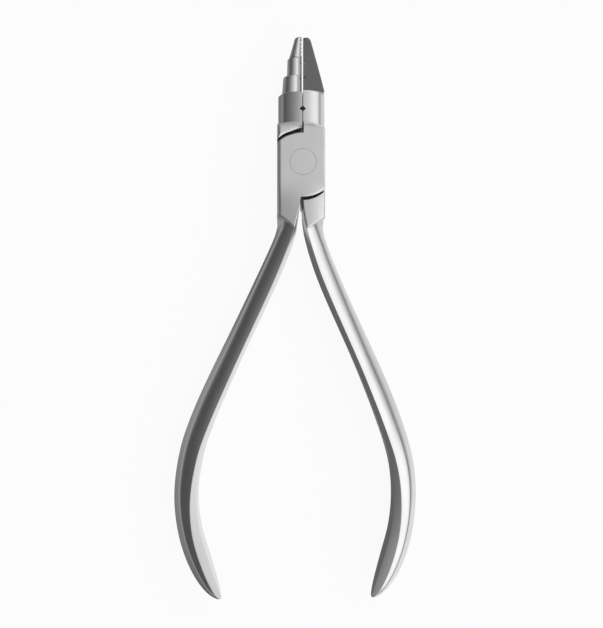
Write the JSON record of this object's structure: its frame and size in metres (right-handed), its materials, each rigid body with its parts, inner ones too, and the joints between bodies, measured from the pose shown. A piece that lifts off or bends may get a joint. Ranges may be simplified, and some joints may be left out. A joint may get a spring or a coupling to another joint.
{
  "type": "orthodontic pliers",
  "caption": "Hand-held lap-joint pliers for bending wire: a stepped round beak works against a flat-faced wedge beak, on leaf-shaped handles with a flush pivot.",
  "frame": {"origin": "on the pivot axis, at the back faces of the joint, which lie in the plane z = 0", "axes": "+Z is the pivot axis towards the front face, +Y runs along the pliers to the beak tips"},
  "size_m": [0.0579, 0.1345, 0.0104],
  "materials": {
    "step_beak_half": "satin joint faces, polished handles and beak steps",
    "wedge_beak_half": "satin joint faces, polished handles, brushed wedge",
    "pivot_screw": "satin, ground flush with the joint faces"
  },
  "bodies": {
    "step_half": {"step_beak_half": "step_beak_half", "pivot_screw": "pivot_screw"},
    "wedge_half": {"wedge_beak_half": "wedge_beak_half"}
  },
  "joints": [
    {"name": "pivot", "type": "hinge", "parent": "step_half", "child": "wedge_half", "pos_m": [0, 0, 0], "axis": [0, 0, -1], "range_deg": [-0.5, 30]}
  ]
}
